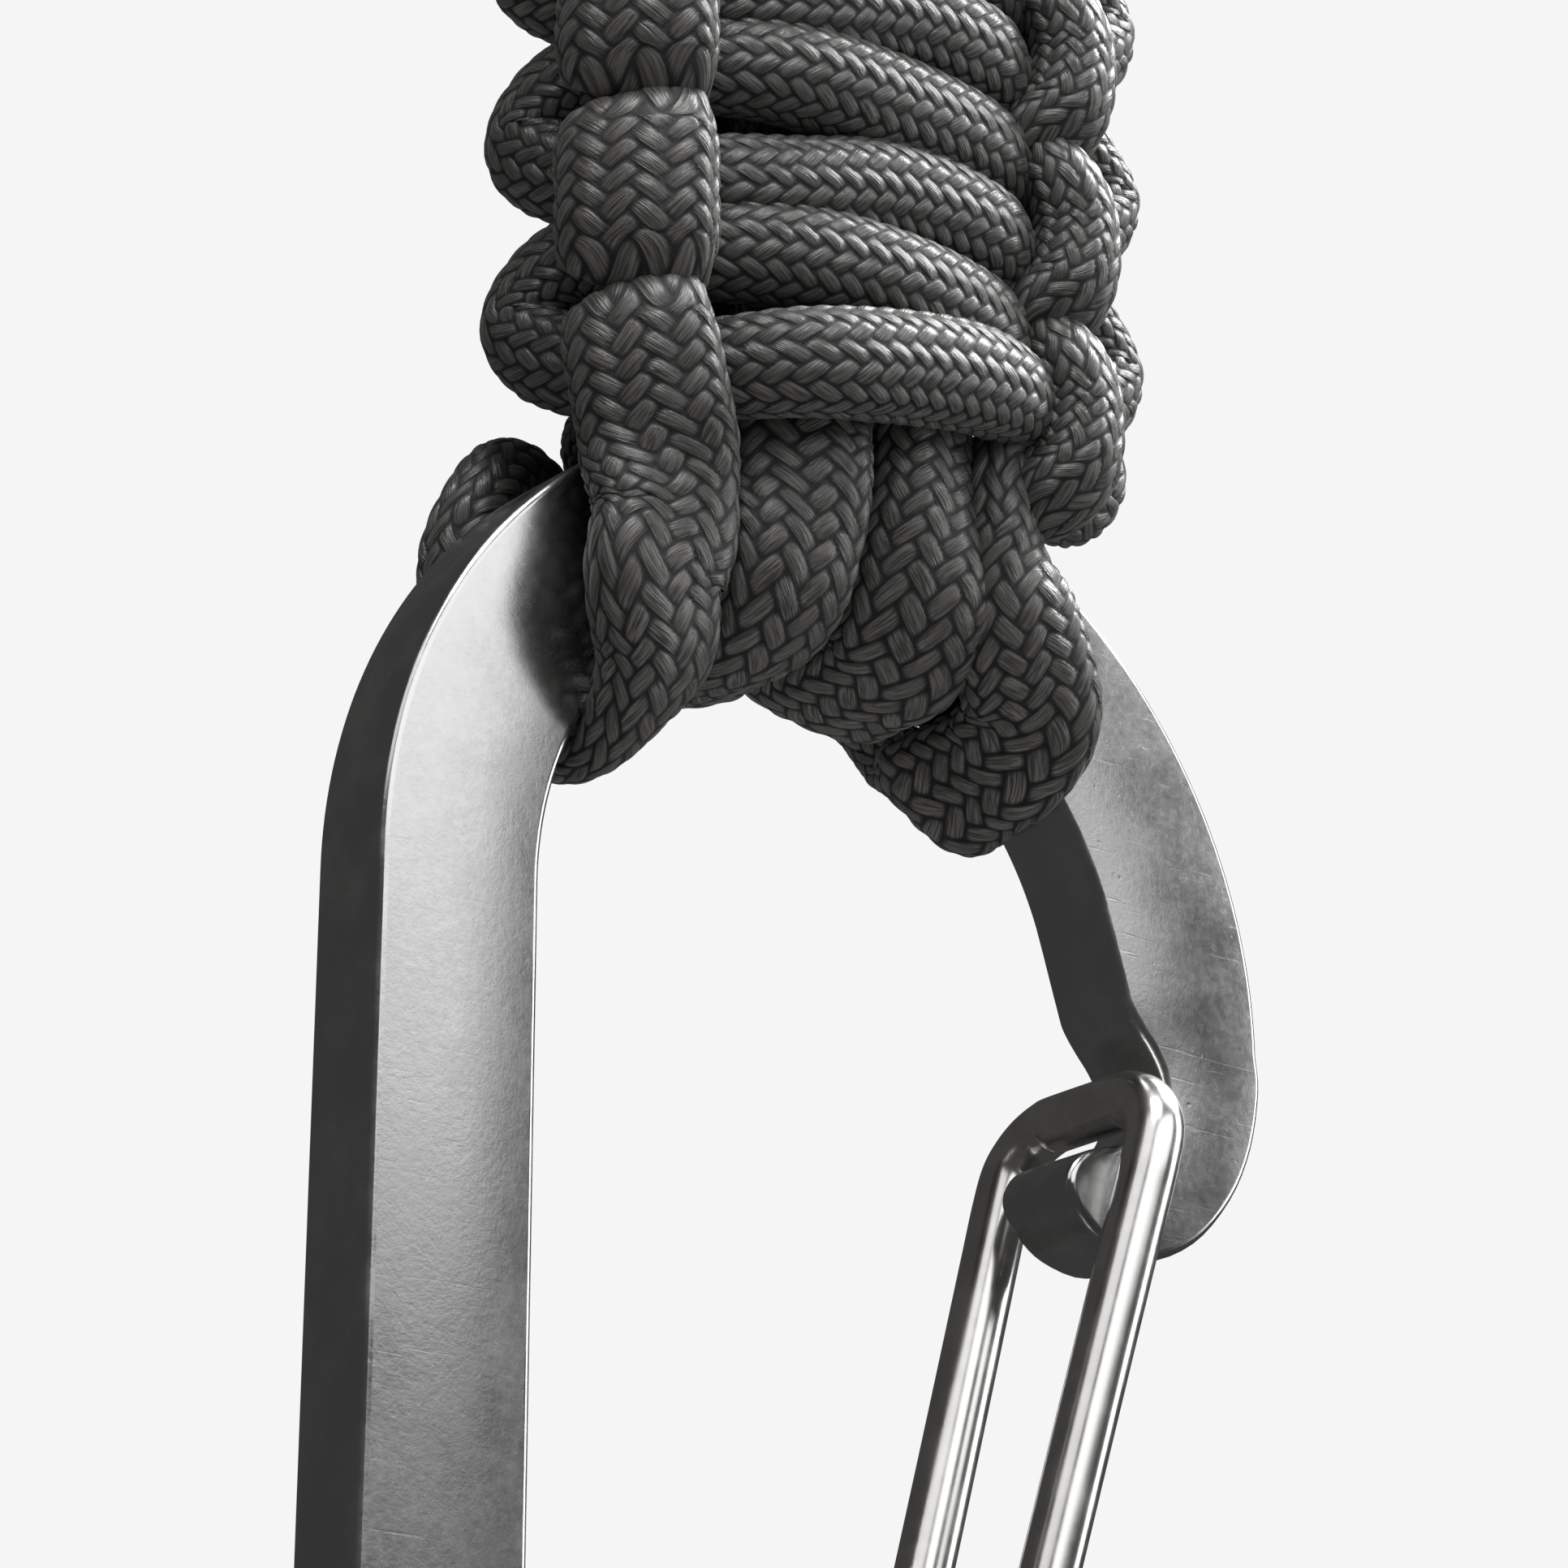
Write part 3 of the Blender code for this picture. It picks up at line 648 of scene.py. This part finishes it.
def edge_bump(n):
    s, z, top_z = side_of(n), junction_z(n), junction_z(n + 2)
    over_bar = 0.3 if n == 0 else 0.0
    if s > 0:
        return [
            (6.9, -3.0, z + 0.2 + over_bar, 1.6, 1.2), (8.0, -5.0, z + 0.2, 1.95, 1.5),
            (9.3, -6.0, z + 1.5, 2.15, 1.75), (9.8, -6.1, (z + top_z) / 2, 2.15, 1.8),
            (9.4, -5.9, top_z - 1.9, 2.1, 1.7),
            (8.7, -4.7, top_z - 0.5, 1.9, 1.45), (8.2, -2.4, top_z - 0.5, 1.5, 1.1),
        ]
    return [
        (-9.1, -2.2, z + 0.85, 1.5, 0.9), (-10.9, -4.5, z + 0.75, 2.7, 1.3),
        (-11.3, -4.9, z + 1.9, 3.15, 1.7), (-11.4, -5.0, (z + top_z) / 2, 3.15, 1.8),
        (-11.3, -4.9, top_z - 1.9, 3.15, 1.7),
        (-10.9, -4.5, top_z - 0.75, 2.7, 1.3), (-9.1, -2.2, top_z - 0.85, 1.5, 0.9),
    ]


def edge_controls():
    first, z = junction_z(1), junction_z(0)
    under_x, under_z = under_bar(-53, arch_radii[1] - wrap_sinks_in)
    route = [
        (-0.35, 8.0, z - 2.2, 1.9, 1.6), (-4.6, 7.8, z - 1.0, 2.1, 1.6), (-8.8, 6.4, z - 0.5, 2.6, 1.65),
        (-11.0, 5.2, z - 3.4, 2.9, 1.7), (-10.8, 4.2, z - 9.2, 2.9, 1.7),
        (under_x + 0.2, 3.4, under_z + 1.3, 2.8, 1.65), (under_x + 0.2, 0.0, under_z + 0.2, 2.8, 1.35),
        (under_x + 0.1, -2.0, under_z + 0.6, 2.85, 1.45), (under_x - 0.1, -3.6, under_z + 2.1, 2.95, 1.65),
        (-10.0, -4.4, first - 11.4, 3.0, 1.75), (-9.6, -4.6, first - 8.5, 3.05, 1.75),
        (-10.6, -4.9, first - 4.2, 3.0, 1.75), (-11.1, -4.9, first - 1.9, 2.95, 1.6),
        (-10.9, -4.5, first - 0.75, 2.6, 1.3), (-9.1, -2.2, first - 0.85, 1.5, 0.9),
    ]
    for n in range(0, half_knots - 1):
        route += rear_crossing(n)
        route += edge_bump(n)
    return route + rear_crossing(half_knots - 1)[:4]


rear_cuts = [None] + [rear_crossing(n)[2] for n in (2, 5, 7, 9)] + [None]
for k, mesh_size in enumerate(((0.145, close_mesh[1]), near_mesh, far_mesh, far_mesh, far_mesh)):
    cord_piece(f"edge_cord_{k + 1}", edge_controls(), "edge_cord", mesh_size,
               cut_at(rear_cuts[k], rear_cuts[k + 1]))

# Melted cord tips.
# Each end of the working cord is trimmed close above the last junction and sealed
# with a flame, which leaves a small hard bead, smooth and a little lumpy.


def fused_tip_finish():
    material, shader, shade = new_finish("fused_cord_bead", Metallic=0.0)
    char = speckle(shade, 900, 4.0, 0.6)
    base = char.clamped(0.35, 0.7).mixed((0.008, 0.0075, 0.007), (0.035, 0.032, 0.029))
    bump = shade.node("ShaderNodeBump", {}, {"Strength": 0.5, "Distance": 0.0001, "Height": char})
    feed(shade, shader, Base_Color=base, Roughness=0.2 + char * 0.35, Normal=bump)
    return material


bead_finish = fused_tip_finish()
front_end, rear_end = crossing_controls()[-1], edge_controls()[-1]
for name, node, centre in (
    ("fused_bead_front", "melted_tip_front", (front_end[0] * 1.02, front_end[1] + 1.7, front_end[2] + 0.2)),
    ("fused_bead_rear", "melted_tip_rear", (rear_end[0] * 1.3, rear_end[1] + 0.5, rear_end[2])),
):
    bead = bmesh.new()
    bmesh.ops.create_icosphere(bead, subdivisions=5, radius=1.55 * MM)
    for vert in bead.verts:
        p = vert.co / MM
        lump = 1 + 0.07 * math.sin(3.1 * p.x + 1.3) * math.cos(2.7 * p.z)
        lump += 0.05 * math.sin(4.3 * p.y + 2.0 * p.x)
        vert.co = Vector((p.x * 1.1, p.y * 0.85, p.z * 0.85)) * lump * MM
    bmesh.ops.translate(bead, verts=bead.verts, vec=[c * MM for c in centre])
    for face in bead.faces:
        face.smooth = True
    finished(name, bead, [bead_finish], "strap", node)

# Floor, lights and camera.
# A plain pale floor well below the hanging carabiner, pale surroundings, a broad soft
# light in front, two soft lights at the right and two at the left.
floor_z = -0.62
floor_work = bmesh.new()
bmesh.ops.create_grid(floor_work, x_segments=1, y_segments=1, size=3.0)
bmesh.ops.translate(floor_work, verts=floor_work.verts, vec=(0, 0, floor_z))
floor_mesh = bpy.data.meshes.new("floor")
floor_work.to_mesh(floor_mesh)
floor_work.free()
floor = bpy.data.objects.new("floor", floor_mesh)
bpy.context.scene.collection.objects.link(floor)
floor_material, floor_shader, floor_shade = new_finish("pale_floor", Roughness=0.9)
floor_shader.inputs["Base Color"].default_value = (0.82, 0.82, 0.82, 1.0)
floor_mesh.materials.append(floor_material)
floor.visible_glossy = False

world = bpy.data.worlds.new("pale_surroundings")
world.use_nodes = True
bpy.context.scene.world = world
sky = Shade(world.node_tree)
background = world.node_tree.nodes["Background"]
seen = sky.node("ShaderNodeLightPath")
tone = seen.mixed((0.055, 0.054, 0.053), (0.915, 0.915, 0.92))
sky.tree.links.new(tone.socket, background.inputs["Color"])
bpy.context.scene.view_settings.view_transform = "Standard"


def soft_light(name, azimuth, elevation, distance, width, height, watts, target=(0, 0, -0.09)):
    """A soft box at an azimuth from -Y towards +X, facing the carabiner."""
    data = bpy.data.lights.new(name, "AREA")
    data.shape = "RECTANGLE"
    data.size, data.size_y = width, height
    data.energy = watts
    lamp = bpy.data.objects.new(name, data)
    a, e = math.radians(azimuth), math.radians(elevation)
    way = Vector((math.sin(a) * math.cos(e), -math.cos(a) * math.cos(e), math.sin(e)))
    lamp.location = Vector(target) + way * distance
    lamp.rotation_mode = "QUATERNION"
    lamp.rotation_quaternion = way.to_track_quat("Z", "Y")
    lamp.visible_camera = False
    bpy.context.scene.collection.objects.link(lamp)


soft_light("face_panel", 8, 31, 1.0, 1.12, 0.54, 2.75)
soft_light("right_edge_panel", 70, 16, 1.0, 0.34, 0.6, 1.9)
soft_light("upper_right_soft_box", 84, 50, 1.0, 0.35, 0.5, 14)
soft_light("upper_left_soft_box", -28, 66, 1.0, 0.4, 0.4, 5)
soft_light("camera_side_panel", -55, 42, 1.0, 0.6, 0.5, 0.9)

camera_data = bpy.data.cameras.new("camera")
camera_data.sensor_width = 36.0
camera_data.lens = 115.528
camera_data.clip_start = 0.01
camera = bpy.data.objects.new("camera", camera_data)
looks_at, camera_distance = Vector((-0.0004, 0.0, -0.0892)), 0.19375
from_left, from_below = math.radians(-38), math.radians(-20)
back_way = Vector((math.sin(from_left) * math.cos(from_below), -math.cos(from_left) * math.cos(from_below),
                   math.sin(from_below)))
camera.location = looks_at + back_way * camera_distance
camera.rotation_mode = "QUATERNION"
camera.rotation_quaternion = back_way.to_track_quat("Z", "Y")
bpy.context.scene.collection.objects.link(camera)
bpy.context.scene.camera = camera
